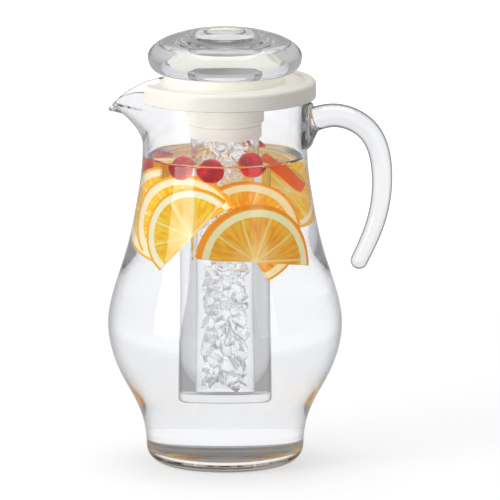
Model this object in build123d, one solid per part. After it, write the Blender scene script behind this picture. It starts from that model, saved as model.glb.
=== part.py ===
from build123d import *
import math
import os

# Clear pitcher with an ice core that hangs from its lid.
# Millimetres, +Z up. The origin is the middle of the foot, the handle is at +X and the spout at -X.

# Jug body
foot_radius = 53.5
foot_corner = 12.0
foot_recess_radius = 35.0
foot_recess_depth = 2.5
floor_thickness = 9.0
floor_corner = 7.0
jug_wall = 3.0
belly_radius = 79.6
belly_height = 95.0
neck_radius = 56.0
neck_start = 215.0
neck_length = 43.5
rim_bead = 3.0
rim_bead_height = 6.0
rim_round = 1.0

# Flank: shares of the way out and up, from the foot to the belly and from the neck down to the belly
flank_below_belly = [(0.157, 0.277), (0.713, 0.627)]
flank_above_belly = [(0.508, 0.6), (0.136, 0.254)]

# Spout
spout_reach = 24.6
spout_rise = 30.0
spout_curve = 2.1
spout_root_radius = 30.0
spout_tip_radius = 6.5
spout_floor_lift = 1.5
spout_tip_inset = 2.4
spout_stations = (0.4, 0.65, 0.85, 1.0)
nose_angle = 6.0
nose_side_angle = 12.0
lip_start_inset = 10.0
lip_radius = 42.5
lip_sweep = 80.0
drip_radius = 2.5
drip_half_width = 5.6
drip_inset = 2.8
drip_drop = 3.1

# Handle: its line is given by distances out from the neck and down from the rim
handle_line = [(-2.0, 23.6), (19.2, 17.4), (41.8, 26.6), (52.0, 58.0), (47.2, 91.5), (36.4, 117.0)]
handle_root_depth = 16.9
handle_root_width = 19.5
handle_end_radius = 5.8
pad_width = 26.0
pad_height = 31.0
pad_drop = 25.0
pad_thickness = 3.5
pad_corner = 8.0
pad_round = 2.0
pad_taper = 8.0

# Ice tube and its screw collar
tube_radius = 23.3
tube_wall = 3.0
tube_floor = 6.0
tube_length = 179.0
tube_corner = 3.5
tube_inner_corner = 2.0
collar_wall = 1.6
collar_skirt = 6.4
collar_web = 1.9
spigot_inset = 2.6
spigot_height = 10.6
core_seal_thickness = 0.8
core_seal_inset = 0.4

# Holder of the core: a turret on the lid and a neck below it
holder_drop = 24.5
holder_step = 1.7
holder_step_height = 1.2
holder_step_round = 0.8
holder_wall = 3.0
holder_bore_shoulder = 15.6
holder_roof = 2.6
turret_radius = 38.0
turret_height = 12.4
turret_round = 1.2
boss_step = 2.8
boss_height = 6.8

# Lid
lid_plate = 3.8
lid_rim_rise = 1.4
lid_rim_width = 8.0
lid_skirt_wall = 2.6
lid_skirt_depth = 7.0
lid_edge_round = 3.0
lid_small_round = 0.8
lid_wall = 2.0
lid_wall_depth = 8.0
lid_wall_inset = 2.0
lid_seal_height = 4.0
lid_seal_drop = 2.0
lid_seal_base = 0.7
notch_radius = 118.0
notch_gap = 2.2

# Knob
knob_gap = 5.0
knob_lip_land = 2.2
knob_rim_width = 9.4
knob_bottom_gap = 0.4
knob_lower_height = 10.2
knob_upper_height = 18.2
knob_well_mouth = 27.0
knob_well_flare = 7.0
knob_shell = 5.0
plug_wall = 2.8
plug_shoulder = 2.0
plug_depth = 16.5
plug_floor = 3.5
plug_chamfer = 1.2
knob_seal_height = 3.0
knob_seal_drop = 8.0
knob_groove = 1.1

# Clearances
trim_headroom = 0.5
seat_gap = 0.2
slide_gap = 0.3
thread_gap = 0.3
bond_gap = 0.05
plug_gap = 0.6
match_tolerance = 0.05

# Levels and radii that follow from the sizes above
rim_height = neck_start + neck_length
neck_inner_radius = neck_radius - jug_wall
bead_radius = neck_radius + rim_bead
lid_under = rim_height + seat_gap
lid_floor = lid_under + lid_plate
lid_radius = bead_radius + slide_gap + lid_skirt_wall
turret_top = lid_floor + turret_height
boss_radius = turret_radius + boss_step
collar_radius = tube_radius + collar_wall
spigot_radius = collar_radius - spigot_inset
holder_neck_radius = collar_radius + holder_step
tube_bore = tube_radius - tube_wall
thread_bore = spigot_radius + thread_gap
plug_bore = holder_neck_radius - holder_wall
plug_radius = plug_bore - plug_gap
holder_bottom = lid_under - holder_drop
collar_shoulder = holder_bottom - core_seal_thickness
tube_top = collar_shoulder - collar_web
tube_bottom = tube_top - tube_length


def turned(outline):
    """Turn a closed outline of (radius, height) points or drawn edges about the upright axis."""
    edges = outline if isinstance(outline[0], Edge) else Polyline(*outline, close=True).edges()
    return revolve(Plane.XZ * make_face(edges), Axis.Z)


def edges_at(solid, radius, height):
    """The round edges of a turned solid at one radius and height."""
    wanted = []
    for edge in solid.edges().filter_by(GeomType.CIRCLE):
        off_radius = abs(edge.radius - radius)
        off_height = abs(edge.arc_center.Z - height)
        if max(off_radius, off_height) < match_tolerance:
            wanted.append(edge)
    return wanted


# Jug

def flank_curve():
    """The outside of the jug from the foot's corner to the neck."""
    foot = Vector(foot_radius, foot_corner)
    belly = Vector(belly_radius, belly_height)
    neck = Vector(neck_radius, neck_start)

    def towards_belly(start, shares):
        way = belly - start
        return start + Vector(way.X * shares[0], way.Y * shares[1])

    below = [towards_belly(foot, shares) for shares in flank_below_belly]
    above = [towards_belly(neck, shares) for shares in flank_above_belly]
    return Spline(foot, *below, belly, *above, neck, tangents=((0, 1), (0, 1)))


def inner_flank_curve(outer_curve):
    """The flank moved in by the wall, from the floor to the neck."""
    points = [(foot_radius - jug_wall, floor_thickness)]
    stations = 12
    for station in range(1, stations + 1):
        place = station / stations
        along = outer_curve % place
        inward = Vector(-along.Y, along.X) * jug_wall
        spot = outer_curve @ place + inward
        points.append((spot.X, spot.Y))
    return Spline(*points, tangents=((0, 1), (0, 1)))


def neck_section(height, radius, nose_reach, nose_radius):
    """A level slice of the neck, drawn out to a rounded nose on the spout's side."""
    middle = nose_reach - nose_radius
    turn = math.acos((radius - nose_radius) / middle)
    side_x = -radius * math.cos(turn)
    side_y = radius * math.sin(turn)
    nose_x = -middle - nose_radius * math.cos(turn)
    nose_y = nose_radius * math.sin(turn)
    outline = [
        ThreePointArc((side_x, -side_y), (radius, 0), (side_x, side_y)),
        Line((side_x, side_y), (nose_x, nose_y)),
        ThreePointArc((nose_x, nose_y), (-nose_reach, 0), (nose_x, -nose_y)),
        Line((nose_x, -nose_y), (side_x, -side_y)),
    ]
    return Pos(0, 0, height) * make_face(outline)


def round_section(height, radius):
    """The lowest slice of the neck, a circle cut into the same four edges."""
    def on_circle(angle):
        return (-radius * math.cos(math.radians(angle)), radius * math.sin(math.radians(angle)))

    side = nose_side_angle
    nose = nose_angle
    between = (side + nose) / 2
    outline = [
        ThreePointArc(on_circle(-side), (radius, 0), on_circle(side)),
        ThreePointArc(on_circle(side), on_circle(between), on_circle(nose)),
        ThreePointArc(on_circle(nose), (-radius, 0), on_circle(-nose)),
        ThreePointArc(on_circle(-nose), on_circle(-between), on_circle(-side)),
    ]
    return Pos(0, 0, height) * make_face(outline)


def neck_and_spout(radius, lift, tip_inset):
    """The neck as a loft that grows a spout. The same form, moved in and up, is its hollow."""
    sections = [round_section(neck_start, radius)]
    for share in spout_stations:
        height = neck_start + lift + share * spout_rise
        reach = radius + spout_reach * share**spout_curve
        nose_radius = spout_root_radius + share * (spout_tip_radius - spout_root_radius) - tip_inset
        sections.append(neck_section(height, radius, reach, nose_radius))
    top = rim_height + trim_headroom
    top_reach = radius + spout_reach + lift
    sections.append(neck_section(top, radius, top_reach, spout_tip_radius - tip_inset))
    return loft(sections)


def drip_lip():
    """A rounded swelling under the spout's tip that cuts off drips."""
    half_ellipse = [
        EllipticalCenterArc((0, 0), drip_radius, drip_half_width, -90, arc_size=180),
        Line((0, drip_half_width), (0, -drip_half_width)),
    ]
    swelling = revolve(make_face(half_ellipse), Axis.Y)
    middle = neck_radius + spout_reach - drip_inset
    return Pos(-middle, 0, neck_start + spout_rise - drip_drop) * swelling


def above_the_rim():
    """Everything over the flat rim and over the lip that droops to the spout's tip."""
    lip_start = -(neck_radius - lip_start_inset)
    beyond = neck_radius + belly_radius
    roof = rim_height + neck_length
    lip_middle = rim_height - lip_radius

    def on_lip(angle):
        along = lip_start - lip_radius * math.sin(math.radians(angle))
        return (along, lip_middle + lip_radius * math.cos(math.radians(angle)))

    lip_end = on_lip(lip_sweep)
    outline = [
        Line((beyond, rim_height), on_lip(0)),
        ThreePointArc(on_lip(0), on_lip(lip_sweep / 2), lip_end),
        Line(lip_end, (-beyond, lip_end[1])),
        Line((-beyond, lip_end[1]), (-beyond, roof)),
        Line((-beyond, roof), (beyond, roof)),
        Line((beyond, roof), (beyond, rim_height)),
    ]
    return extrude(Plane.XZ * make_face(outline), beyond, both=True)


def make_jug():
    flank = flank_curve()
    foot_edge = foot_radius - foot_corner
    recess_bend = (foot_recess_radius**2 + foot_recess_depth**2) / (2 * foot_recess_depth)
    outside = turned([
        Line((0, neck_start), (0, foot_recess_depth)),
        RadiusArc((0, foot_recess_depth), (foot_recess_radius, 0), recess_bend),
        Line((foot_recess_radius, 0), (foot_edge, 0)),
        RadiusArc((foot_edge, 0), (foot_radius, foot_corner), -foot_corner),
        flank,
        Line((neck_radius, neck_start), (0, neck_start)),
    ])
    inner_flank = inner_flank_curve(flank)
    hollow = turned([
        Line((0, neck_start), (0, floor_thickness)),
        Line((0, floor_thickness), inner_flank @ 0),
        inner_flank,
        Line(inner_flank @ 1, (0, neck_start)),
    ])
    hollow = fillet(edges_at(hollow, foot_radius - jug_wall, floor_thickness), floor_corner)
    bead = turned([
        (neck_radius - jug_wall / 2, rim_height - rim_bead_height),
        (neck_radius, rim_height - rim_bead_height),
        (bead_radius, rim_height - rim_bead_height + rim_bead),
        (bead_radius, rim_height),
        (neck_radius - jug_wall / 2, rim_height),
    ])
    above = above_the_rim()
    neck_hollow = neck_and_spout(neck_inner_radius, spout_floor_lift, spout_tip_inset)
    neck = neck_and_spout(neck_radius, 0, 0) + drip_lip() - neck_hollow - above
    flat_rim = neck.faces().filter_by(GeomType.PLANE).sort_by(Axis.Z)[-1]
    lip = neck.faces().filter_by(GeomType.CYLINDER).sort_by(Axis.X)[0]
    inner_edges = []
    for edge in flat_rim.edges() + lip.edges():
        if Vertex(*(edge @ 0.5)).distance_to(neck_hollow) < match_tolerance:
            inner_edges.append(edge)
    neck = fillet(inner_edges, rim_round)
    neck = neck + bead - neck_hollow - above
    return neck + (outside - hollow)


def make_handle():
    points = [(neck_radius + out, 0, rim_height - down) for out, down in handle_line]
    line = Spline(*points)
    sections = []
    steps = 8
    for step in range(steps + 1):
        place = step / steps
        half_depth = handle_root_depth / 2 + place * (handle_end_radius - handle_root_depth / 2)
        half_width = handle_root_width / 2 + place * (handle_end_radius - handle_root_width / 2)
        across = Plane(origin=line @ place, x_dir=(0, 1, 0), z_dir=line % place)
        sections.append(across * Ellipse(half_width, half_depth))
    bar = loft(sections) + Pos(*(line @ 1)) * Sphere(handle_end_radius)
    pad_middle = (neck_radius - pad_corner, 0, rim_height - pad_drop)
    pad_plane = Plane(origin=pad_middle, x_dir=(0, 1, 0), z_dir=(1, 0, 0))
    pad_face = pad_plane * RectangleRounded(pad_width, pad_height, pad_corner)
    pad = extrude(pad_face, pad_corner + pad_thickness, taper=pad_taper)
    pad = fillet(pad.faces().sort_by(Axis.X)[-1].edges(), pad_round)
    return bar + pad - neck_and_spout(neck_radius, 0, 0)


# Lid and the holder on it

def notch():
    """The round cut at the spout that lets the jug pour and keys the lid."""
    middle = -(boss_radius + notch_gap + notch_radius)
    return Pos(middle, 0, rim_height) * Cylinder(notch_radius, neck_length)


def make_lid_cover():
    skirt_inside = lid_radius - lid_skirt_wall
    rim_top = lid_floor + lid_rim_rise
    rim_inside = lid_radius - lid_rim_width
    skirt_bottom = lid_under - lid_skirt_depth
    wall_outside = neck_inner_radius - lid_wall_inset
    wall_bottom = lid_under - lid_wall_depth
    hole = holder_neck_radius + slide_gap
    cover = turned([
        (hole, lid_under),
        (hole, lid_floor),
        (rim_inside, lid_floor),
        (rim_inside, rim_top),
        (lid_radius, rim_top),
        (lid_radius, skirt_bottom),
        (skirt_inside, skirt_bottom),
        (skirt_inside, lid_under),
        (wall_outside, lid_under),
        (wall_outside, wall_bottom),
        (wall_outside - lid_wall, wall_bottom),
        (wall_outside - lid_wall, lid_under),
    ])
    cover = fillet(edges_at(cover, lid_radius, rim_top), lid_edge_round)
    small_edges = edges_at(cover, rim_inside, rim_top) + edges_at(cover, lid_radius, skirt_bottom)
    cover = fillet(small_edges, lid_small_round)
    return cover - notch()


def make_lid_seal():
    """Two soft lips on a band round the lid's inner wall, open at the spout."""
    inside = neck_inner_radius - lid_wall_inset
    base = inside + lid_seal_base
    outside = neck_inner_radius - slide_gap
    top = lid_under - lid_seal_drop
    step = lid_seal_height / 5
    levels = [top - step * count for count in range(6)]
    seal = turned([
        (inside, levels[0]),
        (outside, levels[0]),
        (outside, levels[1]),
        (base, levels[2]),
        (base, levels[3]),
        (outside, levels[3]),
        (outside, levels[4]),
        (base, levels[5]),
        (inside, levels[5]),
    ])
    return seal - notch()


def make_core_holder():
    step_top = holder_bottom + holder_step_height
    bore_shoulder = holder_bottom + holder_bore_shoulder
    roof = turret_top - holder_roof
    boss_top = lid_floor + boss_height
    boss_roof = boss_top - holder_roof
    holder = turned([
        (thread_bore, holder_bottom),
        (collar_radius, holder_bottom),
        (collar_radius, step_top),
        (holder_neck_radius, step_top),
        (holder_neck_radius, roof),
        (turret_radius - holder_roof, roof),
        (turret_radius - holder_roof, boss_roof),
        (boss_radius - holder_roof, boss_roof),
        (boss_radius - holder_roof, lid_floor),
        (boss_radius, lid_floor),
        (boss_radius, boss_top),
        (turret_radius, boss_top),
        (turret_radius, turret_top),
        (plug_bore, turret_top),
        (plug_bore, bore_shoulder),
        (thread_bore, bore_shoulder),
    ])
    holder = fillet(edges_at(holder, turret_radius, turret_top), turret_round)
    return fillet(edges_at(holder, holder_neck_radius, step_top), holder_step_round)


# Ice core

def make_core_collar():
    socket = tube_radius + bond_gap
    return turned([
        (socket, tube_top - collar_skirt),
        (collar_radius, tube_top - collar_skirt),
        (collar_radius, collar_shoulder),
        (spigot_radius, collar_shoulder),
        (spigot_radius, collar_shoulder + spigot_height),
        (tube_bore, collar_shoulder + spigot_height),
        (tube_bore, tube_top),
        (socket, tube_top),
    ])


def make_core_seal():
    return turned([
        (thread_bore, collar_shoulder),
        (collar_radius - core_seal_inset, collar_shoulder),
        (collar_radius - core_seal_inset, holder_bottom),
        (thread_bore, holder_bottom),
    ])


def make_ice_tube():
    tube = turned([
        (0, tube_bottom),
        (tube_radius, tube_bottom),
        (tube_radius, tube_top),
        (tube_bore, tube_top),
        (tube_bore, tube_bottom + tube_floor),
        (0, tube_bottom + tube_floor),
    ])
    tube = fillet(edges_at(tube, tube_radius, tube_bottom), tube_corner)
    return fillet(edges_at(tube, tube_bore, tube_bottom + tube_floor), tube_inner_corner)


# Knob, which is also the core's stopper

def quarter(middle, half_width, half_height, first_angle):
    """A quarter of an ellipse, drawn from its first angle in degrees."""
    return EllipticalCenterArc(middle, half_width, half_height, first_angle, arc_size=90)


def make_knob():
    cavity = turret_radius + knob_gap
    radius = cavity + knob_rim_width
    bottom = lid_floor + boss_height + knob_bottom_gap
    equator = bottom + knob_lower_height
    land = cavity + knob_lip_land
    well = plug_radius - plug_wall
    shoulder = turret_top + seat_gap
    stem = plug_radius + plug_shoulder
    plug_bottom = turret_top - plug_depth
    groove_top = turret_top - knob_seal_drop
    groove_bottom = groove_top - knob_seal_height
    groove = plug_radius - knob_groove
    crest = equator + knob_upper_height * math.sqrt(1 - (knob_well_mouth / radius) ** 2)
    mouth_angle = math.degrees(math.acos(knob_well_mouth / radius))
    roof_edge = equator + knob_lower_height - knob_shell
    flare_middle = (knob_well_mouth, crest - knob_well_flare)
    well_flare = quarter(flare_middle, knob_well_mouth - well, knob_well_flare, 90)
    dome = EllipticalCenterArc((0, equator), radius, knob_upper_height, 0, arc_size=mouth_angle)
    belly = quarter((land, equator), radius - land, knob_lower_height, 270)
    roof = quarter((stem, roof_edge), cavity - stem, knob_shell, 0)
    lower = Polyline(
        (cavity, roof_edge),
        (cavity, bottom),
        (land, bottom),
    )
    inner = Polyline(
        (well, crest - knob_well_flare),
        (well, plug_bottom + plug_floor),
        (0, plug_bottom + plug_floor),
        (0, plug_bottom),
        (plug_radius - plug_chamfer, plug_bottom),
        (plug_radius, plug_bottom + plug_chamfer),
        (plug_radius, groove_bottom),
        (groove, groove_bottom),
        (groove, groove_top),
        (plug_radius, groove_top),
        (plug_radius, shoulder),
        (stem, shoulder),
        (stem, roof_edge + knob_shell),
    )
    return turned([belly, dome, well_flare, *inner.edges(), roof, *lower.edges()])


def make_knob_seal():
    groove_top = turret_top - knob_seal_drop
    groove_bottom = groove_top - knob_seal_height
    return turned([
        (plug_radius - knob_groove, groove_bottom),
        (plug_bore - slide_gap, groove_bottom),
        (plug_bore - slide_gap, groove_top),
        (plug_radius - knob_groove, groove_top),
    ])


pieces = {
    "jug_shell": make_jug(),
    "handle": make_handle(),
    "lid_cover": make_lid_cover(),
    "lid_seal": make_lid_seal(),
    "core_holder": make_core_holder(),
    "core_collar": make_core_collar(),
    "core_seal": make_core_seal(),
    "ice_tube": make_ice_tube(),
    "knob": make_knob(),
    "knob_seal": make_knob_seal(),
}

os.makedirs("parts", exist_ok=True)
for name, piece in pieces.items():
    export_step(piece, f"parts/{name}.step")
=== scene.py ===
import math
import random

import bmesh
import bpy
import numpy as np
from mathutils import Matrix, Vector


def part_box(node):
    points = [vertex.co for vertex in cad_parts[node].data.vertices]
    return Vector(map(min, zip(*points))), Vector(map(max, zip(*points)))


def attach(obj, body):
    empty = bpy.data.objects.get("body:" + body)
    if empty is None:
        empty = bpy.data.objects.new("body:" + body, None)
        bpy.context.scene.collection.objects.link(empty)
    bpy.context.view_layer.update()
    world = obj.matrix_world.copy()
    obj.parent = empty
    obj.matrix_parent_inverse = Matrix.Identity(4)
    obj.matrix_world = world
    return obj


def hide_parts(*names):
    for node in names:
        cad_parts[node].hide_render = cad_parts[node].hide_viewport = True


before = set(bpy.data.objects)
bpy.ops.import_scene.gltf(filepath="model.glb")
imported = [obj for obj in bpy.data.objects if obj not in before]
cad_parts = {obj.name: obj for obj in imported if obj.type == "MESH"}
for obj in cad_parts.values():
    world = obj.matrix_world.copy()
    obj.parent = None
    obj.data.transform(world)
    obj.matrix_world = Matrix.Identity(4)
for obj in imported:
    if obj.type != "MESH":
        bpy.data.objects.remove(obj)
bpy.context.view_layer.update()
mm = 0.001
tiny = 1e-6  # metres; points closer than this are one
print("frame loaded:", ", ".join(sorted(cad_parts)))


class Wire:
    def __init__(self, tree, socket=None):
        self.tree = tree
        self.socket = socket

    def node(self, kind, settings=None, sockets=None, output=0):
        made = self.tree.nodes.new(kind)
        for name, value in (settings or {}).items():
            setattr(made, name, value)
        for name, value in (sockets or {}).items():
            if isinstance(value, Wire):
                self.tree.links.new(value.socket, made.inputs[name])
            else:
                made.inputs[name].default_value = value
        return Wire(self.tree, made.outputs[output])

    def maths(self, operation, first, second=0.0):
        return self.node("ShaderNodeMath", {"operation": operation}, {0: first, 1: second})

    def __add__(self, other):
        return self.maths("ADD", self, other)

    def __sub__(self, other):
        return self.maths("SUBTRACT", self, other)

    def __rsub__(self, other):
        return self.maths("SUBTRACT", other, self)

    def __mul__(self, other):
        return self.maths("MULTIPLY", self, other)

    def __truediv__(self, other):
        return self.maths("DIVIDE", self, other)

    def __rtruediv__(self, other):
        return self.maths("DIVIDE", other, self)

    def __pow__(self, other):
        return self.maths("POWER", self, other)

    def __rpow__(self, other):
        return self.maths("POWER", other, self)

    __radd__ = __add__
    __rmul__ = __mul__

    def rise(self, low, high):  # 0 below low, 1 above high, smooth between
        return self.node("ShaderNodeMapRange", {"interpolation_type": "SMOOTHSTEP"},
                         {"Value": self, "From Min": low, "From Max": high})

    def mixed(self, first, second):  # this value blends two colours
        return self.node("ShaderNodeMix", {"data_type": "RGBA"}, {0: self, 6: first, 7: second}, 2)

    def axes(self):  # the three parts of a vector
        return [self.node("ShaderNodeSeparateXYZ", None, {"Vector": self}, axis) for axis in "XYZ"]


def colour(red, green, blue):
    return (red, green, blue, 1)


def newMaterial(name):
    material = bpy.data.materials.new(name)
    material.use_nodes = True
    tree = material.node_tree
    surface = tree.nodes["Principled BSDF"]
    return material, Wire(tree), surface


def feed(wire, surface, sockets):
    for name, value in sockets.items():
        if isinstance(value, Wire):
            wire.tree.links.new(value.socket, surface.inputs[name])
        else:
            surface.inputs[name].default_value = value


def objectSpace(wire):
    return wire.node("ShaderNodeTexCoord", output="Object")


def noiseAt(wire, space, scale, detail=2.0):
    return wire.node("ShaderNodeTexNoise", None, {"Vector": space, "Scale": scale, "Detail": detail}, "Fac")


def bumpFrom(wire, height, strength, distance):
    return wire.node("ShaderNodeBump", None,
                     {"Height": height, "Strength": strength, "Distance": distance}, "Normal")


clearFinish = {"edgeShadeBlend": 0.5, "waveHeight": 1 * mm, "hazeDetail": 4.0, "hazeRange": (0.45, 0.8)}


def clearMaterial(name, look):
    material, wire, surface = newMaterial(name)
    space = objectSpace(wire)
    flow = noiseAt(wire, space, look["flowScale"])  # slow waves left by moulding
    tint = flow.mixed(colour(*look["tintLow"]), colour(*look["tintHigh"]))
    edgeShadeMask = wire.node("ShaderNodeLayerWeight", None, {"Blend": clearFinish["edgeShadeBlend"]}, "Facing")
    sockets = {
        # painted shade: where a ray meets the surface at a grazing angle the colour darkens to the edge
        # colour, partly for the longer way through the wall, mostly standing in for the dark outlines glass
        # shows at its edges
        "Base Color": edgeShadeMask.rise(*look["edgeShadeRange"]).mixed(tint, colour(*look["edge"])),
        "Roughness": 0.0,
        "Transmission Weight": 1.0,
        "IOR": look["ior"],
    }
    if look["wave"]:
        sockets["Normal"] = bumpFrom(wire, flow, look["wave"], clearFinish["waveHeight"])
    if look["haze"]:
        haze = noiseAt(wire, space, look["hazeScale"], clearFinish["hazeDetail"])
        sockets["Roughness"] = haze.rise(*clearFinish["hazeRange"]) * look["haze"]
        if look["glow"]:
            sockets["Emission Color"] = haze.mixed(colour(*look["tintLow"]), colour(1, 1, 1))
            sockets["Emission Strength"] = look["glow"]
    feed(wire, surface, sockets)
    return material


plasticFinish = {"ior": 1.5, "cloudRange": (0.35, 0.65), "grainDetail": 3.0, "grainHeight": 0.2 * mm}


def plasticMaterial(name, look):
    material, wire, surface = newMaterial(name)
    space = objectSpace(wire)
    cloud = noiseAt(wire, space, look["cloudScale"])
    grain = noiseAt(wire, space, look["grainScale"], plasticFinish["grainDetail"])
    tone = cloud.rise(*plasticFinish["cloudRange"]).mixed(colour(*look["shade"]), colour(*look["tone"]))
    sockets = {
        "Base Color": tone,
        "Roughness": look["roughness"] + grain * look["roughnessSpread"],
        "Normal": bumpFrom(wire, grain, look["grain"], plasticFinish["grainHeight"]),
        "IOR": plasticFinish["ior"],
        "Specular IOR Level": look["gloss"],
    }
    if look["glow"]:  # painted light: the cream in the neck glows, less at the top and to the right, standing in for the key light from the left that the glass keeps off
        x, _, z = space.axes()
        shadedShare = wire.maths("MAXIMUM", z.rise(*look["fadeUp"]), x.rise(*look["fadeRight"]))
        glow = look["glow"] - shadedShare * look["glowLoss"]
        sockets["Emission Color"] = glow.mixed(colour(0, 0, 0), tone)
        sockets["Emission Strength"] = 1.0
    feed(wire, surface, sockets)
    return material


# edge is the painted shade the glass takes at grazing angles; the handle's is near black
acrylic = {
    "flowScale": 9.0, "hazeScale": 60.0, "haze": 0.02, "wave": 0.02, "ior": 1.49, "glow": 0.0,
    "tintLow": (0.955, 0.96, 0.975), "tintHigh": (0.978, 0.982, 0.992),
    "edge": (0.12, 0.12, 0.125), "edgeShadeRange": (0.5, 0.95),
}
acrylicMaterial = clearMaterial("clear acrylic", acrylic)
thick = {**acrylic, "tintLow": (0.855, 0.862, 0.885), "tintHigh": (0.905, 0.912, 0.93)}
knobMaterial = clearMaterial("clear acrylic of the knob", {
    **thick, "edge": (0.6, 0.61, 0.64), "edgeShadeRange": (0.7, 1.0),
})
handleMaterial = clearMaterial("clear acrylic of the handle", {
    **thick, "edge": (0.012, 0.012, 0.014), "edgeShadeRange": (0.24, 0.74),
})
wetMaterial = clearMaterial("clear acrylic in the drink", {**acrylic, "ior": 1.12})
water = {
    "flowScale": 22.0, "haze": 0.0, "wave": 0.05, "ior": 1.333,
    "tintLow": (0.985, 0.99, 0.985), "tintHigh": (1.0, 1.0, 1.0),
    "edge": (0.96, 0.97, 0.97), "edgeShadeRange": (0.5, 0.95),
}
drinkMaterial = clearMaterial("water", water)
restingMaterial = clearMaterial("water at rest on a wall", {
    **water, "wave": 0.0, "ior": 1.0, "tintLow": (0.995, 0.998, 0.995), "edge": (0.99, 0.995, 0.995),
})
iceMaterial = clearMaterial("clear ice", {
    "flowScale": 160.0, "hazeScale": 240.0, "haze": 0.06, "wave": 0.3, "ior": 1.27, "glow": 0.03,
    "tintLow": (0.965, 0.97, 0.965), "tintHigh": (1.0, 1.0, 1.0),
    "edge": (0.8, 0.81, 0.82), "edgeShadeRange": (0.5, 0.95),
})
cream = {
    "cloudScale": 14.0, "grainScale": 900.0, "shade": (0.85, 0.828, 0.745), "tone": (0.88, 0.858, 0.78),
    "roughness": 0.3, "roughnessSpread": 0.14, "grain": 0.08, "gloss": 0.5, "glow": 0.0,
}
creamMaterial = plasticMaterial("cream plastic", cream)
# painted light: a glowing copy of the cream plastic for the holder and collar inside the glass neck
paintedLightNeckMaterial = plasticMaterial("cream plastic in the neck with painted light", {
    **cream, "glow": 0.44, "glowLoss": 0.32, "fadeUp": (246 * mm, 250 * mm), "fadeRight": (-6 * mm, 27 * mm),
})
siliconeMaterial = plasticMaterial("white silicone", {
    "cloudScale": 30.0, "grainScale": 700.0, "shade": (0.78, 0.78, 0.75), "tone": (0.84, 0.84, 0.82),
    "roughness": 0.5, "roughnessSpread": 0.15, "grain": 0.12, "gloss": 0.35, "glow": 0.0,
})
print("plastics and clear materials made")


def skin(rings):
    # quads between rings of points; a ring of one point is a pole
    points, faces, starts = [], [], []
    for ring in rings:
        starts.append(len(points))
        points.extend(ring)
    for row in range(len(rings) - 1):
        near, far = rings[row], rings[row + 1]
        count = max(len(near), len(far))
        for step in range(count):
            after = (step + 1) % count
            corners = [
                starts[row] + (step if len(near) > 1 else 0),
                starts[row] + (after if len(near) > 1 else 0),
                starts[row + 1] + (after if len(far) > 1 else 0),
                starts[row + 1] + (step if len(far) > 1 else 0),
            ]
            faces.append(list(dict.fromkeys(corners)))
    return points, faces


def meshPiece(name, points, faces, materials, sharpAngle=38):
    mesh = bpy.data.meshes.new(name)
    mesh.from_pydata([tuple(point) for point in points], [], faces)
    shape = bmesh.new()
    shape.from_mesh(mesh)
    bmesh.ops.remove_doubles(shape, verts=shape.verts, dist=tiny)
    bmesh.ops.recalc_face_normals(shape, faces=shape.faces)
    shape.to_mesh(mesh)
    shape.free()
    mesh.shade_smooth()
    mesh.set_sharp_from_angle(angle=math.radians(sharpAngle))
    for material in materials:
        mesh.materials.append(material)
    piece = bpy.data.objects.new(name, mesh)
    bpy.context.scene.collection.objects.link(piece)
    return piece


def lathe(profile, steps=192):
    rings = []
    for radius, height in profile:
        if radius < tiny:
            rings.append([(0.0, 0.0, height)])
            continue
        turns = [2 * math.pi * step / steps for step in range(steps)]
        rings.append([(radius * math.cos(turn), radius * math.sin(turn), height) for turn in turns])
    return skin(rings)


def arcPoints(middle, halfWidth, halfHeight, start, sweep, count):
    points = []
    for step in range(count + 1):
        angle = math.radians(start + sweep * step / count)
        points.append((middle[0] + halfWidth * math.cos(angle), middle[1] + halfHeight * math.sin(angle)))
    return points


def curveThrough(points, startSlope=None, endSlope=None):
    # smooth cubic through the points, by chord length; an end without a slope runs out straight
    spots = np.array(points, float)
    gaps = np.linalg.norm(np.diff(spots, axis=0), axis=1)
    count = len(spots)
    rows = np.zeros((count, count))
    right = np.zeros_like(spots)
    for k in range(1, count - 1):
        rows[k, k - 1:k + 2] = gaps[k], 2 * (gaps[k - 1] + gaps[k]), gaps[k - 1]
        right[k] = 3 * (gaps[k] * (spots[k] - spots[k - 1]) / gaps[k - 1]
                        + gaps[k - 1] * (spots[k + 1] - spots[k]) / gaps[k])
    rows[0, :2] = (2, 1) if startSlope is None else (1, 0)
    right[0] = 3 * (spots[1] - spots[0]) / gaps[0] if startSlope is None else startSlope
    rows[-1, -2:] = (1, 2) if endSlope is None else (0, 1)
    right[-1] = 3 * (spots[-1] - spots[-2]) / gaps[-1] if endSlope is None else endSlope
    slopes = np.linalg.solve(rows, right)
    knots = np.concatenate([[0.0], np.cumsum(gaps)])

    def at(share):
        reach = share * knots[-1]
        k = int(np.clip(np.searchsorted(knots, reach, side="right") - 1, 0, count - 2))
        t = (reach - knots[k]) / gaps[k]
        return ((1 + 2 * t) * (1 - t) ** 2 * spots[k] + t * (1 - t) ** 2 * gaps[k] * slopes[k]
                + t * t * (3 - 2 * t) * spots[k + 1] - t * t * (1 - t) * gaps[k] * slopes[k + 1])

    return at


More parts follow.
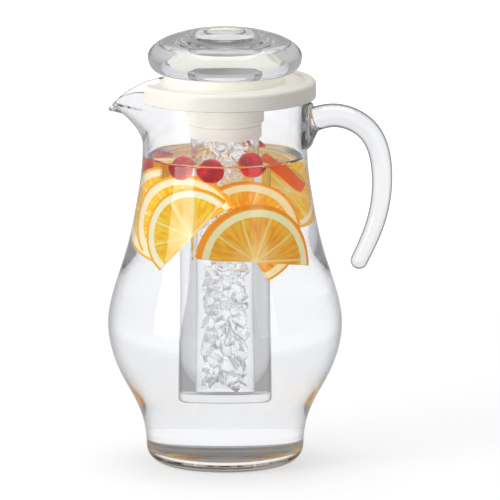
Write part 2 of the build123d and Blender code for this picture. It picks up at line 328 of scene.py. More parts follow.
jug = {
    "footRadius": 53.5 * mm, "footCorner": 12 * mm, "recessRadius": 35 * mm, "recessDepth": 2.5 * mm,
    "floor": 9 * mm, "floorCorner": 7 * mm, "wall": 3 * mm,
    "flank": [(53.5, 12), (57.6, 35), (72.1, 64), (79.6, 95), (68, 143), (59.2, 184.5), (56, 215)],
    "neckRadius": 56 * mm, "neckStart": 215 * mm, "rim": 258.5 * mm,
    "bead": 3 * mm, "beadHeight": 6 * mm, "rimRound": 1.2 * mm,
    "spoutReach": 24.6 * mm, "spoutRise": 30 * mm, "spoutCurve": 2.1,
    "spoutRoot": 30 * mm, "spoutTip": 6.5 * mm, "floorLift": 1.5 * mm, "tipInset": 2.4 * mm,
    "lipStart": 46 * mm, "lipRadius": 42.5 * mm,
    "dripOut": 77.8 * mm, "dripHeight": 241.9 * mm, "dripRadius": 2.5 * mm, "dripHalfWidth": 5.6 * mm,
    "dripTurn": 0.3, "dripBlend": 1.2 * mm,
    "flankRows": 400, "flankStart": 5, "flankStep": 4, "recessRows": 12, "footRows": 14, "neckRows": 110,
    "rimRows": 10, "insideRows": 80, "cornerRows": 10, "floorShares": (0.66, 0.33, 0.0), "sharp": 50,
    "halvings": 40,
    "turnBands": [(0, 14, 0.5), (14, 60, 1.0), (60, 180, 2.0)],  # degrees from the spout: start, end, step
}
neckInside = jug["neckRadius"] - jug["wall"]
drinkLevel = 211.6 * mm


def flankTables():
    line = curveThrough(np.array(jug["flank"]) * mm, (0, 1), (0, 1))
    outside = np.array([line(share) for share in np.linspace(0, 1, jug["flankRows"])])
    along = np.gradient(outside, axis=0)
    along /= np.linalg.norm(along, axis=1)[:, None]
    inside = outside + jug["wall"] * np.stack([-along[:, 1], along[:, 0]], axis=1)
    return outside, inside


outerFlank, innerFlank = flankTables()


def innerRadius(height):  # inside of the body below the neck
    return float(np.interp(height, innerFlank[:, 1], innerFlank[:, 0]))


def neckReach(turn, height, radius, lift, inset):
    # distance from the axis to the neck's wall; turn is measured from the spout
    share = min(max((height - jug["neckStart"] - lift) / jug["spoutRise"], 0.0), 1.0)
    nose = jug["spoutRoot"] + share * (jug["spoutTip"] - jug["spoutRoot"]) - inset
    middle = radius + jug["spoutReach"] * share ** jug["spoutCurve"] - nose
    tangent = math.acos(min((radius - nose) / middle, 1.0))
    if turn >= tangent:
        return radius
    noseEdge = math.atan2(nose * math.sin(tangent), middle + nose * math.cos(tangent))
    if turn >= noseEdge:
        return radius / math.cos(tangent - turn)
    return middle * math.cos(turn) + math.sqrt(max(nose ** 2 - (middle * math.sin(turn)) ** 2, 0.0))


def softMax(first, second, width):
    near = max(width - abs(first - second), 0.0) / width
    return max(first, second) + near * near * width / 4


def outerReach(turn, height):
    reach = neckReach(turn, height, jug["neckRadius"], 0.0, 0.0)
    beadFoot = jug["rim"] - jug["beadHeight"]
    if height > beadFoot:
        reach = max(reach, jug["neckRadius"] + min(height - beadFoot, jug["bead"]))
    level = 1 - ((height - jug["dripHeight"]) / jug["dripRadius"]) ** 2
    if level > 0 and turn < jug["dripTurn"]:  # the drip swelling under the tip
        a = (math.cos(turn) / jug["dripRadius"]) ** 2 + (math.sin(turn) / jug["dripHalfWidth"]) ** 2
        b = jug["dripOut"] * math.cos(turn) / jug["dripRadius"] ** 2
        c = (jug["dripOut"] / jug["dripRadius"]) ** 2 - level
        if b * b > a * c:
            reach = softMax(reach, (b + math.sqrt(b * b - a * c)) / a, jug["dripBlend"])
    return reach


def innerReach(turn, height):
    return neckReach(turn, height, neckInside, jug["floorLift"], jug["tipInset"])


def lipHeight(out):  # height of the rim, which droops towards the tip
    beyond = min(max(out - jug["lipStart"], 0.0), jug["lipRadius"])
    return jug["rim"] - jug["lipRadius"] + math.sqrt(jug["lipRadius"] ** 2 - beyond ** 2)


def rimMeets(turn, reachAt):  # height at which a wall meets the rim
    low, high = jug["neckStart"], jug["rim"]
    for _ in range(jug["halvings"]):
        half = (low + high) / 2
        if half < lipHeight(reachAt(turn, half) * math.cos(turn)):
            low = half
        else:
            high = half
    return (low + high) / 2


def jugTurns():
    # signed turns from the spout, closer together near its tip
    right = [turn for band in jug["turnBands"] for turn in np.arange(*band)]
    return [math.radians(turn) for turn in [*right, 180.0, *[-turn for turn in right[:0:-1]]]]


def jugPiece():
    turns = jugTurns()

    def ring(radiusAt, heightAt):
        points = []
        for turn in turns:
            radius = radiusAt(turn)
            points.append((-radius * math.cos(turn), radius * math.sin(turn), heightAt(turn)))
        return points

    def roundRing(radius, height):
        return [(0.0, 0.0, height)] if radius < tiny else ring(lambda turn: radius, lambda turn: height)

    recess = [(jug["recessRadius"] * share, jug["recessDepth"] * (1 - share ** 2))
              for share in np.linspace(0, 1, jug["recessRows"])]
    cornerMiddle = (jug["footRadius"] - jug["footCorner"], jug["footCorner"])
    foot = arcPoints(cornerMiddle, jug["footCorner"], jug["footCorner"], -90, 90, jug["footRows"])
    flank = outerFlank[jug["flankStart"]::jug["flankStep"]]
    rings = [roundRing(*spot) for spot in [*recess, *foot, *flank]]

    outerTop = {turn: rimMeets(abs(turn), outerReach) for turn in turns}
    innerTop = {turn: rimMeets(abs(turn), innerReach) for turn in turns}
    start = jug["neckStart"]
    for share in np.linspace(0, 1, jug["neckRows"])[1:]:
        heights = {turn: start + share * (outerTop[turn] - jug["rimRound"] - start) for turn in turns}
        rings.append(ring(lambda turn: outerReach(abs(turn), heights[turn]), lambda turn: heights[turn]))
    for step in range(1, jug["rimRows"]):  # the rounded rim, from the outer wall to the inner one
        bow = math.pi * step / jug["rimRows"]
        across = (1 - math.cos(bow)) / 2
        drop = (1 - math.sin(bow)) * jug["rimRound"]
        radii = {}
        for turn in turns:
            outer = outerReach(abs(turn), outerTop[turn] - jug["rimRound"])
            inner = innerReach(abs(turn), innerTop[turn] - jug["rimRound"])
            radii[turn] = outer + across * (inner - outer)
        rings.append(ring(lambda turn: radii[turn],
                          lambda turn: lipHeight(radii[turn] * math.cos(turn)) - drop))
    for share in np.linspace(1, 0, jug["insideRows"]):
        heights = {turn: start + share * (innerTop[turn] - jug["rimRound"] - start) for turn in turns}
        rings.append(ring(lambda turn: innerReach(abs(turn), heights[turn]), lambda turn: heights[turn]))
    cornerTop = jug["floor"] + jug["floorCorner"]
    flank = innerFlank[-jug["flankStart"]::-jug["flankStep"]]
    inner = [(radius, height) for radius, height in flank if height > cornerTop]
    inner.append((innerRadius(drinkLevel), drinkLevel))
    inner.sort(key=lambda spot: -spot[1])
    cornerMiddle = (innerRadius(cornerTop) - jug["floorCorner"], cornerTop)
    corner = arcPoints(cornerMiddle, jug["floorCorner"], jug["floorCorner"], 0, -90, jug["cornerRows"])
    floor = [(cornerMiddle[0] * share, jug["floor"]) for share in jug["floorShares"]]
    rings.extend(roundRing(*spot) for spot in [*inner, *corner, *floor])
    points, faces = skin(rings)
    piece = meshPiece("jugShell", points, faces, [acrylicMaterial, wetMaterial], jug["sharp"])
    for face in piece.data.polygons:  # the inner face below the surface meets the drink
        out, height = math.hypot(face.center.x, face.center.y), face.center.z
        if jug["floor"] - jug["wall"] < height < drinkLevel and out < innerRadius(height) + jug["wall"] / 2:
            face.material_index = 1
    return piece


jugShell = jugPiece()
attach(jugShell, "jug")
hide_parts("jug_shell")
print("jug made:", len(jugShell.data.polygons), "faces")

handle = {
    "line": [(-2.0, 23.6), (19.2, 17.4), (41.8, 26.6), (52.0, 58.0), (47.2, 91.5), (36.4, 117.0)],
    "rootDepth": 16.9 * mm, "rootWidth": 19.5 * mm, "endRadius": 5.8 * mm,
    "padMiddle": 233.5 * mm, "sunk": 0.15 * mm,
    "pad": [(0.0, 13.0, 15.5), (1.7, 12.8, 15.3), (2.7, 12.4, 14.9), (3.3, 11.8, 14.3), (3.5, 10.8, 13.2)],
    "padSquare": 0.45, "padMargin": 0.1 * mm, "barStart": 0.055, "slopeStep": 1e-3,
    "steps": 64, "sections": 90, "endRows": 12, "sharp": 50,
}


def handlePiece():
    spots = [(jug["neckRadius"] + out * mm, jug["rim"] - down * mm) for out, down in handle["line"]]
    line = curveThrough(spots)
    turns = [2 * math.pi * step / handle["steps"] for step in range(handle["steps"])]

    def bent(value, power):
        return math.copysign(abs(value) ** power, value)

    rings = []
    for out, halfWidth, halfHeight in handle["pad"]:  # the pad lies on the neck
        ring = []
        for turn in turns:
            y = halfWidth * mm * bent(math.cos(turn), handle["padSquare"])
            z = handle["padMiddle"] + halfHeight * mm * bent(math.sin(turn), handle["padSquare"])
            wrap = math.sqrt(jug["neckRadius"] ** 2 - y ** 2) if out == 0 else jug["neckRadius"]
            ring.append((wrap + out * mm - (handle["sunk"] if out == 0 else 0), y, z))
        rings.append(ring)
    bar = []
    for share in np.linspace(handle["barStart"], 1, handle["sections"]):
        middle = line(share)
        along = line(min(share + handle["slopeStep"], 1)) - line(share - handle["slopeStep"])
        along = along / np.linalg.norm(along)
        depth = handle["rootDepth"] / 2 + share * (handle["endRadius"] - handle["rootDepth"] / 2)
        width = handle["rootWidth"] / 2 + share * (handle["endRadius"] - handle["rootWidth"] / 2)
        bar.append((middle, along, depth, width))
    end, along = bar[-1][0], bar[-1][1]
    for step in range(1, handle["endRows"]):  # round end
        angle = math.pi / 2 * step / handle["endRows"]
        size = handle["endRadius"] * math.cos(angle)
        bar.append((end + along * handle["endRadius"] * math.sin(angle), along, size, size))
    for middle, way, depth, width in bar:
        ring = []
        for turn in turns:
            up = depth * math.sin(turn)
            ring.append((middle[0] - way[1] * up, width * math.cos(turn), middle[1] + way[0] * up))
        rings.append(ring)
    tip = end + along * handle["endRadius"]
    rings.append([(tip[0], 0.0, tip[1])])
    rings.insert(0, [(jug["neckRadius"] - handle["sunk"], 0.0, handle["padMiddle"])])
    points, faces = skin(rings)
    piece = meshPiece("handleBar", points, faces, [handleMaterial, knobMaterial], handle["sharp"])
    padTop = jug["neckRadius"] + handle["pad"][-1][0] * mm + handle["padMargin"]
    for face in piece.data.polygons:  # the thin pad takes the knob's material, with lighter painted shade at its edges than the bar
        if face.center.x < padTop:
            face.material_index = 1
    return piece


handleBar = handlePiece()
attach(handleBar, "jug")
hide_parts("handle")
print("handle made")

tubeLow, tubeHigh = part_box("ice_tube")
tube = {
    "radius": tubeHigh.x, "wall": 3 * mm, "floor": 6 * mm,
    "corner": 3.5 * mm, "cornerRows": 8, "innerCorner": 2 * mm, "innerRows": 6,
}


def tubePiece():
    bottom, top = tubeLow.z, tubeHigh.z
    bore = tube["radius"] - tube["wall"]
    floorTop = bottom + tube["floor"]
    outerCorner = arcPoints((tube["radius"] - tube["corner"], bottom + tube["corner"]),
                            tube["corner"], tube["corner"], -90, 90, tube["cornerRows"])
    innerCorner = arcPoints((bore - tube["innerCorner"], floorTop + tube["innerCorner"]),
                            tube["innerCorner"], tube["innerCorner"], 0, -90, tube["innerRows"])
    profile = [
        (0.0, bottom), *outerCorner, (tube["radius"], drinkLevel), (tube["radius"], top),
        (bore, top), *innerCorner, (0.0, floorTop),
    ]
    points, faces = lathe(profile)
    piece = meshPiece("iceTube", points, faces, [acrylicMaterial, wetMaterial])
    for face in piece.data.polygons:  # the outer face below the surface meets the drink
        out = math.hypot(face.center.x, face.center.y)
        outside = out > bore + tube["wall"] / 2 or face.center.z < bottom + tube["floor"] / 2
        if outside and face.center.z < drinkLevel:
            face.material_index = 1
    return piece


iceTube = tubePiece()
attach(iceTube, "ice_core")
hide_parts("ice_tube")
print("ice tube made")

knobLow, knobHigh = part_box("knob")
knob = {
    "radius": knobHigh.x, "cavity": 43 * mm, "land": 45.2 * mm, "bottom": 269.7 * mm, "equator": 279.9 * mm,
    "upper": 18.2 * mm, "mouth": 27 * mm, "flare": 7 * mm, "well": 20.2 * mm, "wellCorner": 1 * mm,
    "shell": 5 * mm, "plug": 23 * mm, "stem": 25 * mm, "shoulder": 275.1 * mm, "plugFloor": 3.5 * mm,
    "chamfer": 1.2 * mm, "groove": 21.9 * mm, "grooveTop": 266.9 * mm, "grooveBottom": 263.9 * mm,
    "flareRows": 14, "domeRows": 30, "underRows": 24, "roofRows": 16,
}


def knobPiece():
    radius, equator = knob["radius"], knob["equator"]
    plugBottom = knobLow.z
    lower = equator - knob["bottom"]
    roofEdge = equator + lower - knob["shell"]
    mouthAngle = math.degrees(math.acos(knob["mouth"] / radius))
    crest = equator + knob["upper"] * math.sin(math.radians(mouthAngle))
    flareMiddle = (knob["mouth"], crest - knob["flare"])
    wellFloor = plugBottom + knob["plugFloor"]
    roofWidth = knob["cavity"] - knob["stem"]
    profile = [
        (0.0, wellFloor), (knob["well"] - knob["wellCorner"], wellFloor),
        (knob["well"], wellFloor + knob["wellCorner"]),
        *arcPoints(flareMiddle, knob["mouth"] - knob["well"], knob["flare"], 180, -90, knob["flareRows"]),
        *arcPoints((0.0, equator), radius, knob["upper"], mouthAngle, -mouthAngle, knob["domeRows"])[1:],
        *arcPoints((knob["land"], equator), radius - knob["land"], lower, 0, -90, knob["underRows"])[1:],
        (knob["cavity"], knob["bottom"]),
        *arcPoints((knob["stem"], roofEdge), roofWidth, knob["shell"], 0, 90, knob["roofRows"]),
        (knob["stem"], knob["shoulder"]), (knob["plug"], knob["shoulder"]), (knob["plug"], knob["grooveTop"]),
        (knob["groove"], knob["grooveTop"]), (knob["groove"], knob["grooveBottom"]),
        (knob["plug"], knob["grooveBottom"]), (knob["plug"], plugBottom + knob["chamfer"]),
        (knob["plug"] - knob["chamfer"], plugBottom), (0.0, plugBottom),
    ]
    points, faces = lathe(profile)
    return meshPiece("knobStopper", points, faces, [knobMaterial])


knobStopper = knobPiece()
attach(knobStopper, "stopper")
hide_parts("knob")
knobStopper.visible_shadow = False  # the lamps reach the lid through it
print("knob made")

for node, material in (
    ("lid_cover", creamMaterial), ("core_holder", paintedLightNeckMaterial), ("core_collar", paintedLightNeckMaterial),
    ("lid_seal", siliconeMaterial), ("core_seal", siliconeMaterial), ("knob_seal", siliconeMaterial),
):
    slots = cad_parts[node].data.materials
    slots.clear()
    slots.append(material)
print("lid, holder, collar and seals finished")

drink = {
    "gap": 0.05 * mm, "meniscus": 1.6 * mm, "meniscusWidth": 4 * mm, "roomBelowTube": 13 * mm,
    "ringShare": 0.7, "cornerRows": 10, "wallRows": 90, "meniscusRows": 8, "openTilt": 0.2, "sharp": 60,
}


def drinkPiece():
    gap = drink["gap"]
    cornerTop = jug["floor"] + jug["floorCorner"]
    cornerMiddle = (innerRadius(cornerTop) - jug["floorCorner"], cornerTop)
    size = jug["floorCorner"] - gap
    profile = [(0.0, jug["floor"] + gap), *arcPoints(cornerMiddle, size, size, -90, 90, drink["cornerRows"])]
    heights = np.linspace(cornerTop, drinkLevel, drink["wallRows"])[1:]
    profile += [(innerRadius(height) - gap, height) for height in heights]
    edge = innerRadius(drinkLevel) - gap
    profile.append((edge, drinkLevel + drink["meniscus"]))
    for share in np.linspace(0, 1, drink["meniscusRows"] + 1)[1:]:  # the surface climbs the wall a little
        climb = drink["meniscus"] * (1 - share) ** 3
        profile.append((edge - share * drink["meniscusWidth"], drinkLevel + climb))
    around = tube["radius"] + gap
    holeFloor = tubeLow.z - drink["roomBelowTube"]  # the tube comes down here as it unscrews
    corner = arcPoints((tube["radius"] - tube["corner"], holeFloor + tube["corner"]),
                       tube["corner"] + gap, tube["corner"] + gap, 0, -90, tube["cornerRows"])
    ringRadius = edge * drink["ringShare"]
    profile += [(ringRadius, drinkLevel), (around, drinkLevel), *corner, (0.0, holeFloor - gap)]
    points, faces = lathe(profile)
    piece = meshPiece("drink", points, faces, [drinkMaterial, restingMaterial], drink["sharp"])
    for face in piece.data.polygons:  # only the open surface bends light here
        if face.normal.z < drink["openTilt"] or face.center.z < drinkLevel - gap:
            face.material_index = 1
    return piece


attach(drinkPiece(), "jug")
print("drink poured")

view = {"azimuth": 9.5, "elevation": 11.0}
viewTurn = math.radians(view["azimuth"])
toRight = Vector((math.cos(viewTurn), math.sin(viewTurn), 0))
toFront = Vector((math.sin(viewTurn), -math.cos(viewTurn), 0))
toTop = Vector((0, 0, 1))


def wayInJug(right, front, up):  # a direction or a place as the photograph shows it
    return toRight * right + toFront * front + toTop * up


fruit = {
    "wobbleScale": 40.0, "wobble": 0.25, "membraneRange": (0.008, 0.05), "membraneShare": 0.7,
    "sacsAround": 84.0, "sacsOut": 4.5, "sacsDeep": 300.0, "sacRange": (0.15, 0.7), "sacShare": 0.7,
    "patchScale": 70.0, "patchDetail": 3.0, "patchRange": (0.35, 0.7), "patchShare": 0.3,
    "litRange": (0.05, 0.6), "litShare": 0.4, "heartRange": (0.04, 0.12),
    "pithScale": 130.0, "pithWobble": 0.02, "pithBlend": 0.012, "rindIn": 0.015, "rindOut": 0.02,
    "poreScale": 900.0, "poreShare": 0.5, "bump": 0.35, "bumpHeight": 0.6 * mm,
    "roughness": 0.3, "roughnessSpread": 0.2, "ior": 1.36,
    "swell": 0.45 * mm, "lobePower": 0.6, "swellPower": 0.7, "edgeStart": 0.93, "edgeRound": 0.35,
    "shares": [0.06, 0.14, 0.28, 0.42, 0.56, 0.68, 0.78, 0.83, 0.87, 0.93, 0.965, 0.988, 1.0],
    "steps": 160, "sharp": 60,
}


def sliceMaterial(name, look):
    material, wire, surface = newMaterial(name)
    space = objectSpace(wire)
    x, y, z = space.axes()
    radius = (x * x + y * y) ** 0.5 / (look["radius"] * mm)
    angle = wire.maths("ARCTAN2", y, x) / (2 * math.pi) + look["spin"]
    wobble = noiseAt(wire, space, fruit["wobbleScale"]) * fruit["wobble"]
    lobe = wire.maths("FRACT", (angle * look["lobes"] + wobble) + look["lobes"])  # kept above zero
    nearest = wire.maths("MINIMUM", lobe, 1 - lobe)
    membrane = (1 - (nearest * radius).rise(*fruit["membraneRange"])) * fruit["membraneShare"]
    polar = wire.node("ShaderNodeCombineXYZ", None, {
        "X": angle * fruit["sacsAround"], "Y": radius * fruit["sacsOut"], "Z": z * fruit["sacsDeep"],
    })
    cells = wire.node("ShaderNodeTexVoronoi", {"feature": "SMOOTH_F1"},
                      {"Vector": polar, "Scale": 1.0}, "Distance")
    patches = noiseAt(wire, space, fruit["patchScale"], fruit["patchDetail"]).rise(*fruit["patchRange"])
    juice = cells.rise(*fruit["sacRange"]) * fruit["sacShare"] + patches * fruit["patchShare"]
    pulp = juice.mixed(colour(*look["flesh"]), colour(*look["deepFlesh"]))
    lit = (1 - radius.rise(*fruit["litRange"])) * fruit["litShare"]
    heart = 1 - radius.rise(*fruit["heartRange"])
    white = wire.maths("MAXIMUM", wire.maths("MAXIMUM", membrane, lit), heart)
    inner = white.mixed(pulp, colour(*look["membrane"]))
    pithEdge = look["pithStart"] + noiseAt(wire, space, fruit["pithScale"]) * fruit["pithWobble"]
    pith = (radius - pithEdge).rise(-fruit["pithBlend"], fruit["pithBlend"])
    rind = radius.rise(look["rindStart"] - fruit["rindIn"], look["rindStart"] + fruit["rindOut"])
    whole = rind.mixed(pith.mixed(inner, colour(*look["pith"])), colour(*look["rind"]))
    pores = wire.node("ShaderNodeTexVoronoi", None,
                      {"Vector": space, "Scale": fruit["poreScale"]}, "Distance")
    feed(wire, surface, {
        "Base Color": whole,
        "Roughness": fruit["roughness"] + cells * fruit["roughnessSpread"],
        "Normal": bumpFrom(wire, cells + pores * fruit["poreShare"], fruit["bump"], fruit["bumpHeight"]),
        "IOR": fruit["ior"],
        "Emission Color": whole,
        "Emission Strength": look["glow"],  # painted light: the flesh glows, partly for light through the wet flesh, partly for lamp light the glass keeps off
    })
    return material


sunny = {
    "lobes": 10, "spin": 0.0, "pithStart": 0.81, "rindStart": 0.945, "glow": 0.44,
    "flesh": (0.97, 0.70, 0.04), "deepFlesh": (0.88, 0.43, 0.002), "membrane": (0.98, 0.86, 0.46),
    "pith": (0.97, 0.93, 0.66), "rind": (0.95, 0.47, 0.006),
}
ripe = {
    **sunny, "glow": 0.32, "flesh": (0.96, 0.58, 0.03), "deepFlesh": (0.85, 0.28, 0.003),
    "membrane": (0.96, 0.78, 0.32), "pith": (0.93, 0.88, 0.50), "rind": (0.97, 0.34, 0.0),
}
red = {
    **ripe, "flesh": (0.86, 0.50, 0.05), "deepFlesh": (0.80, 0.36, 0.02), "pith": (0.90, 0.62, 0.22),
    "rind": (0.90, 0.13, 0.002), "rindStart": 0.93,
}


def slicePiece(name, look, thickness, middle, normal, keep=None, shift=0.0):
    # normal is the way the slice faces; keep points from its cut to the part that stays
    size, half = look["radius"] * mm, thickness * mm / 2
    turns = [2 * math.pi * step / fruit["steps"] for step in range(fruit["steps"])]

    def surfaceHeight(share, turn):
        lobe = abs(math.sin((turn + 2 * math.pi * look["spin"]) * look["lobes"] / 2)) ** fruit["lobePower"]
        inPulp = math.sin(math.pi * min(share / look["pithStart"], 1.0))
        swell = fruit["swell"] * lobe * inPulp ** fruit["swellPower"]
        outward = max((share - fruit["edgeStart"]) / (1 - fruit["edgeStart"]), 0.0)
        return half + swell - half * fruit["edgeRound"] * outward ** 2

    def ring(share, side):
        out = size * share
        return [(out * math.cos(turn), out * math.sin(turn), side * surfaceHeight(share, turn))
                for turn in turns]

    rings = [[(0.0, 0.0, half)], *[ring(share, 1) for share in fruit["shares"]],
             *[ring(share, -1) for share in reversed(fruit["shares"])], [(0.0, 0.0, -half)]]
    points, faces = skin(rings)
    piece = meshPiece(name, points, faces, [sliceMaterial(name + " fruit", look)], fruit["sharp"])
    if keep is not None:
        shape = bmesh.new()
        shape.from_mesh(piece.data)
        cut = bmesh.ops.bisect_plane(shape, geom=[*shape.verts, *shape.edges, *shape.faces], dist=tiny,
                                     plane_co=(-shift * size, 0, 0), plane_no=(1, 0, 0), clear_inner=True)
        edges = [item for item in cut["geom_cut"] if isinstance(item, bmesh.types.BMEdge)]
        bmesh.ops.contextual_create(shape, geom=edges)
        bmesh.ops.recalc_face_normals(shape, faces=shape.faces)
        shape.to_mesh(piece.data)
        shape.free()
    facing = wayInJug(*normal).normalized()
    across = wayInJug(*(keep or (1, 0, 0)))
    across = (across - facing * across.dot(facing)).normalized()
    stand = Matrix((across, facing.cross(across), facing)).transposed().to_4x4()
    piece.matrix_world = Matrix.Translation(wayInJug(*middle) * mm) @ stand
    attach(piece, "jug")


# middles, normals and kept sides are written to the right, to the front and up
slices = [
    dict(name="halfFrontLeft", look={**sunny, "radius": 33, "spin": 0.03}, thickness=5.0,
         middle=(-20.0, 41.0, 163.0), normal=(-0.36, 0.92, 0.08), keep=(-0.777, 0, 0.629), shift=0.0),
    dict(name="halfBackLeft", look={**sunny, "radius": 36, "spin": 0.06}, thickness=4.5,
         middle=(-22.3, 25.0, 166.5), normal=(-0.5, 0.86, 0.05), keep=(-0.58, 0, 0.814), shift=0.05),
    dict(name="sliceFarLeft", look={**sunny, "radius": 36}, thickness=4.5,
         middle=(-27.0, 8.0, 170.0), normal=(-0.5, 0.86, 0.03), keep=(-0.86, -0.5, 0), shift=-0.25),
    dict(name="halfFrontRight", look={**ripe, "radius": 38.5, "spin": 0.02}, thickness=8.5,
         middle=(17.8, 42.0, 146.6), normal=(0.32, 0.94, -0.06), keep=(0.13, 0, 0.99), shift=0.02),
    dict(name="halfBackRight", look={**ripe, "radius": 37, "spin": 0.05}, thickness=5.0,
         middle=(11.0, 30.0, 162.0), normal=(0.45, 0.89, 0.05), keep=(0.918, 0, 0.396), shift=0.02),
    dict(name="sliceBehindLeft", look={**ripe, "radius": 28}, thickness=4.5,
         middle=(-26.0, -30.0, 183.0), normal=(-0.56, -0.83, 0.0)),
    dict(name="sliceBehindRight", look={**sunny, "radius": 28, "spin": 0.04}, thickness=4.5,
         middle=(28.0, -28.0, 182.0), normal=(0.62, -0.79, 0.0)),
    dict(name="redWedge", look={**red, "radius": 16.5}, thickness=9.0,
         middle=(36.5, 12.0, 201.5), normal=(0.66, -0.2, 0.75), keep=(0, 1, 0)),
]
for piece in slices:
    slicePiece(**piece)
print("fruit slices laid in")

berry = {
    "radius": 8.3 * mm, "length": 1.06, "calyx": 0.16, "calyxWidth": 0.22, "stalk": 0.08, "stalkWidth": 0.2,
    "rows": 32, "steps": 48, "sharp": 80, "tip": 70, "tipStep": 37, "rollStep": 61,
    "middles": [
        (-27.5, 31.0, 208.5), (-9.0, 38.0, 207.5), (17.0, 30.0, 210.5),
        (-43.5, -10.0, 203.5), (20.0, -40.0, 207.0),
    ],
    "blushScale": 110.0, "blushDetail": 3.0, "blushRange": (0.35, 0.7), "fleckScale": 900.0,
    "dark": (0.32, 0.003, 0.015), "bright": (0.72, 0.006, 0.018), "roughness": 0.12, "roughnessSpread": 0.14,
    "bump": 0.12, "bumpHeight": 0.4 * mm, "coat": 0.05, "coatRoughness": 0.08, "glow": 0.45,
}


def berryMaterial():
    material, wire, surface = newMaterial("cranberry skin")
    space = objectSpace(wire)
    blush = noiseAt(wire, space, berry["blushScale"], berry["blushDetail"]).rise(*berry["blushRange"])
    fleck = noiseAt(wire, space, berry["fleckScale"])
    skinTone = blush.mixed(colour(*berry["dark"]), colour(*berry["bright"]))
    feed(wire, surface, {
        "Base Color": skinTone,
        "Roughness": berry["roughness"] + fleck * berry["roughnessSpread"],
        "Normal": bumpFrom(wire, fleck, berry["bump"], berry["bumpHeight"]),
        "Coat Weight": berry["coat"],
        "Coat Roughness": berry["coatRoughness"],
        "Emission Color": skinTone,
        "Emission Strength": berry["glow"],
    })
    return material


cranberrySkin = berryMaterial()


def berryPiece(number, middle):
    profile = []
    for step in range(berry["rows"] + 1):
        angle = math.pi * step / berry["rows"]
        dimple = 1 - berry["calyx"] * math.exp(-(angle / berry["calyxWidth"]) ** 2)
        dimple -= berry["stalk"] * math.exp(-((math.pi - angle) / berry["stalkWidth"]) ** 2)
        out = berry["radius"] * dimple
        profile.append((out * math.sin(angle), out * berry["length"] * math.cos(angle)))
    profile[0], profile[-1] = (0.0, profile[0][1]), (0.0, profile[-1][1])
    points, faces = lathe(profile, berry["steps"])
    piece = meshPiece(f"cranberry{number}", points, faces, [cranberrySkin], berry["sharp"])
    tip = Matrix.Rotation(math.radians(berry["tip"] + berry["tipStep"] * number), 4, "X")
    roll = Matrix.Rotation(math.radians(berry["rollStep"] * number), 4, "Y")
    piece.matrix_world = Matrix.Translation(wayInJug(*middle) * mm) @ tip @ roll
    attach(piece, "jug")


for number, middle in enumerate(berry["middles"]):
    berryPiece(number, middle)
print("cranberries floated")

ice = {
    "seed": 11, "bottom": tubeLow.z + 7 * mm, "top": 224 * mm, "layer": 7.6 * mm, "corners": 13,
    "rings": [(1, 0.0), (6, 12.6 * mm)], "size": 7.0 * mm, "bevel": 0.1, "bevelRound": 0.6, "bevelRows": 2,
    "cornerReach": (0.8, 1.0), "sizeShare": (0.7, 1.04), "reachShare": (0.92, 1.0), "lift": 1.6,
    "firstLayer": 0.85, "layerTurn": 37, "turnSpread": 8, "sharp": 40,
}


def iceLump(draw, middle, size):
    shape = bmesh.new()
    for _ in range(ice["corners"]):
        way = Vector((draw.gauss(0, 1), draw.gauss(0, 1), draw.gauss(0, 1))).normalized()
        shape.verts.new(middle + way * size * draw.uniform(*ice["cornerReach"]))
    hull = bmesh.ops.convex_hull(shape, input=shape.verts)
    spare = [item for item in hull["geom_interior"] if isinstance(item, bmesh.types.BMVert)]
    bmesh.ops.delete(shape, geom=spare, context="VERTS")
    bmesh.ops.bevel(shape, geom=[*shape.edges, *shape.verts], offset=size * ice["bevel"],
                    segments=ice["bevelRows"], profile=ice["bevelRound"], affect="EDGES")
    shape.verts.ensure_lookup_table()
    shape.verts.index_update()
    points = [vert.co.copy() for vert in shape.verts]
    faces = [[vert.index for vert in face.verts] for face in shape.faces]
    shape.free()
    return points, faces


def icePiece():
    draw = random.Random(ice["seed"])
    points, faces = [], []
    layers = int((ice["top"] - ice["bottom"]) / ice["layer"])
    for layer in range(layers):
        height = ice["bottom"] + ice["layer"] * (layer + ice["firstLayer"])
        for count, out in ice["rings"]:
            for place in range(count):
                spread = draw.uniform(-ice["turnSpread"], ice["turnSpread"])
                turn = math.radians(360 * place / count + ice["layerTurn"] * layer + spread)
                reach = out * draw.uniform(*ice["reachShare"])
                lift = draw.uniform(-ice["lift"], ice["lift"]) * mm
                middle = Vector((reach * math.cos(turn), reach * math.sin(turn), height + lift))
                size = ice["size"] * draw.uniform(*ice["sizeShare"])
                lumpPoints, lumpFaces = iceLump(draw, middle, size)
                faces.extend([[index + len(points) for index in face] for face in lumpFaces])
                points.extend(lumpPoints)
    return meshPiece("iceLumps", points, faces, [iceMaterial], ice["sharp"])


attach(icePiece(), "ice_core")
print("ice dropped in")

studio = {
    "skyLevel": 0.42, "mirrorGrey": 0.56, "skyInGlass": 0.94,
    "upperGrey": 0.4, "upperStart": (0.4, 0.6), "upperEnd": (0.8, 0.92),
    "floorSize": 40.0, "floorDrop": 0.3 * mm, "floorTone": (0.45, 0.45, 0.45), "floorRoughness": 0.7,
    "floorGloss": 0.2, "cloudScale": 3.0, "cloudTone": 0.99, "floorGlow": 0.6, "farGlow": 0.4,
    "farRange": (0.25, 1.6), "floorInGlass": 0.62, "farInGlass": 0.14, "aimHeight": 0.16, "bounces": 32,
}


def rayKinds(wire):
    # camera rays, rays in or off glass, and the light that comes back after a reflection
    seen, glossy, clear = [wire.node("ShaderNodeLightPath", output=f"Is {kind} Ray")
                           for kind in ("Camera", "Glossy", "Transmission")]
    bounces = wire.node("ShaderNodeLightPath", output="Glossy Depth")
    mirrored = 1 - wire.maths("MINIMUM", bounces, 1.0) * studio["mirrorGrey"]
    return seen, wire.maths("MAXIMUM", glossy, clear), mirrored


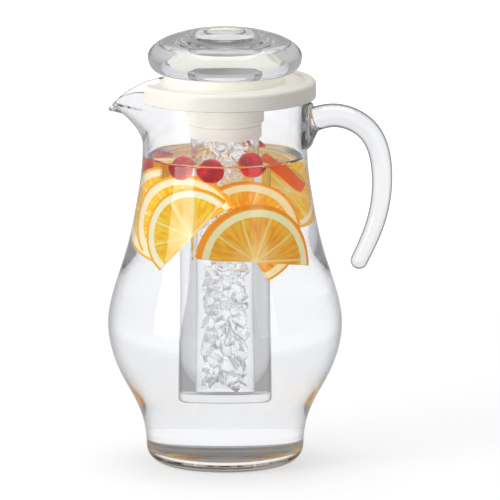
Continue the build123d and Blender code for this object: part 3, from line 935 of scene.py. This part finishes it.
def floorPiece():
    half, level = studio["floorSize"] / 2, -studio["floorDrop"]
    corners = [(-half, -half, level), (half, -half, level), (half, half, level), (-half, half, level)]
    material, wire, surface = newMaterial("pale floor")
    space = objectSpace(wire)
    x, y, _ = space.axes()
    cloud = noiseAt(wire, space, studio["cloudScale"])
    tone = studio["floorTone"]
    cloudTone = [value * studio["cloudTone"] for value in tone]
    away = (x * x + y * y) ** 0.5
    seen, inGlass, mirrored = rayKinds(wire)
    far = away.rise(*studio["farRange"])
    plain = studio["floorGlow"] + far * studio["farGlow"]
    through = studio["floorInGlass"] + far * studio["farInGlass"]
    glow = plain * seen + (1 - seen) * inGlass * mirrored * through
    feed(wire, surface, {
        "Base Color": cloud.mixed(colour(*cloudTone), colour(*tone)),
        "Roughness": studio["floorRoughness"],
        "Specular IOR Level": studio["floorGloss"],
        "Emission Color": glow.mixed(colour(0, 0, 0), colour(1, 1, 1)),
        "Emission Strength": 1.0,
    })
    return meshPiece("floor", corners, [(0, 1, 2, 3)], [material])


def whiteSurround():
    world = bpy.data.worlds.new("studio surround")
    bpy.context.scene.world = world
    world.use_nodes = True
    tree = world.node_tree
    wire = Wire(tree)
    seen, inGlass, mirrored = rayKinds(wire)
    _, _, z = wire.node("ShaderNodeTexCoord", output="Generated").axes()
    upper = z.rise(*studio["upperStart"]) * (1 - z.rise(*studio["upperEnd"]))
    shown = mirrored * (1 - upper * studio["upperGrey"]) * studio["skyInGlass"]
    light = seen + (1 - seen) * (inGlass * shown + (1 - inGlass) * studio["skyLevel"])
    background = tree.nodes["Background"]
    tree.links.new(light.socket, background.inputs["Strength"])
    background.inputs["Color"].default_value = colour(1, 1, 1)


# lamps are placed to the right, to the front and up, in metres
lamps = [
    dict(name="keyPanel", place=(-1.1, 0.7, 0.5), width=0.75, height=1.0, power=10.5, offKnob=True),
    dict(name="keyStrip", place=(-0.99, 0.86, 0.5), width=0.3, height=1.0, power=2.0, offKnob=True),
    dict(name="fillPanel", place=(0.94, 1.04, 0.5), width=0.5, height=1.0, power=2.0),
    dict(name="topPanel", place=(0.0, -0.3, 1.9), width=1.4, height=1.4, power=15.0),
]


knobShade = bpy.data.collections.new("out of the key light")  # the lamps that use it leave the knob out
knobShade.objects.link(knobStopper)
knobShade.collection_objects[0].light_linking.link_state = "EXCLUDE"


def lampPanel(name, place, width, height, power, offKnob=False):
    light = bpy.data.lights.new(name, "AREA")
    light.shape = "RECTANGLE"
    light.size, light.size_y = width, height
    light.energy = power
    lamp = bpy.data.objects.new(name, light)
    bpy.context.scene.collection.objects.link(lamp)
    lamp.visible_transmission = False  # glass shows the panels only as reflections
    if offKnob:  # a low panel would mirror white in the knob's flat top from behind
        lamp.light_linking.receiver_collection = knobShade
    lamp.location = wayInJug(*place)
    lamp.rotation_euler = (toTop * studio["aimHeight"] - lamp.location).to_track_quat("-Z", "Y").to_euler()


camera = {
    "lens": 1000.0, "sensor": 36.0, "frameWidth": 340 * mm,
    "targetRight": 17 * mm, "targetHeight": 145.7 * mm,
}


def placeCamera():
    data = bpy.data.cameras.new("photoCamera")
    data.lens = camera["lens"]
    data.sensor_width = camera["sensor"]
    eye = bpy.data.objects.new("photoCamera", data)
    bpy.context.scene.collection.objects.link(eye)
    distance = camera["frameWidth"] * camera["lens"] / camera["sensor"]
    rise = math.radians(view["elevation"])
    target = wayInJug(camera["targetRight"], 0, camera["targetHeight"])
    eye.location = target + wayInJug(0, math.cos(rise), math.sin(rise)) * distance
    eye.rotation_euler = (target - eye.location).to_track_quat("-Z", "Y").to_euler()
    bpy.context.scene.camera = eye


floorPiece()
whiteSurround()
for lamp in lamps:
    lampPanel(**lamp)
placeCamera()
scene = bpy.context.scene
scene.view_settings.view_transform = "Standard"
scene.cycles.max_bounces = studio["bounces"]
scene.cycles.glossy_bounces = studio["bounces"]
scene.cycles.transmission_bounces = studio["bounces"]
print("floor, light and camera set")
